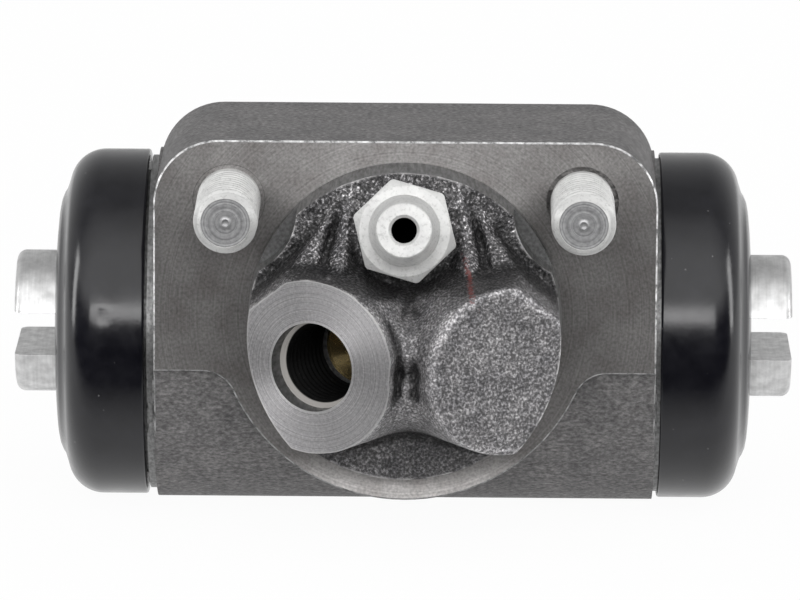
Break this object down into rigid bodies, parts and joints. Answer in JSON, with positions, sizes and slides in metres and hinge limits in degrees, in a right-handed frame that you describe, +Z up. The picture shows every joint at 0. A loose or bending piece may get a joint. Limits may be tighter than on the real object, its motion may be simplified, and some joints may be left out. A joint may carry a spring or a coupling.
{
  "type": "wheel cylinder",
  "caption": "Hydraulic drum brake wheel cylinder: iron casting with a turned spigot, mounting studs, bleed screw, inlet port, rubber boots and slotted pistons.",
  "frame": {"origin": "centre of the spigot on the mounting face", "axes": "+X along the bore, -Y out of the mounting face, +Z up towards the bleed screw"},
  "size_m": [0.0942, 0.0644, 0.0479],
  "materials": {
    "cast_iron": "grey iron, turned on the mounting face, sand-cast elsewhere",
    "plated_steel": "zinc plated",
    "brass": "turned",
    "spring_steel": "plain",
    "piston_metal": "satin plated",
    "cup_rubber": "moulded",
    "boot_rubber": "satin moulded"
  },
  "bodies": {
    "cylinder": {"body": "cast_iron", "stud_left": "plated_steel", "stud_right": "plated_steel", "pipe_seat": "brass", "spring": "spring_steel", "boot_left": "boot_rubber", "boot_right": "boot_rubber"},
    "left_piston": {"piston_left": "piston_metal", "cup_left": "cup_rubber", "expander_left": "spring_steel"},
    "right_piston": {"piston_right": "piston_metal", "cup_right": "cup_rubber", "expander_right": "spring_steel"},
    "bleeder": {"bleed_screw": "plated_steel"}
  },
  "joints": [
    {"name": "left_piston_slide", "type": "slide", "parent": "cylinder", "child": "left_piston", "axis": [-1, 0, 0], "range_m": [-0.004, 0.005], "deforming": ["spring"]},
    {"name": "right_piston_slide", "type": "slide", "parent": "cylinder", "child": "right_piston", "axis": [1, 0, 0], "range_m": [-0.004, 0.005], "deforming": ["spring"]},
    {"name": "bleed_screw_turn", "type": "hinge", "parent": "cylinder", "child": "bleeder", "pos_m": [0, -0.0072, 0.0118], "axis": [0, -0.9781, 0.2079], "range_deg": [0, 270]}
  ]
}
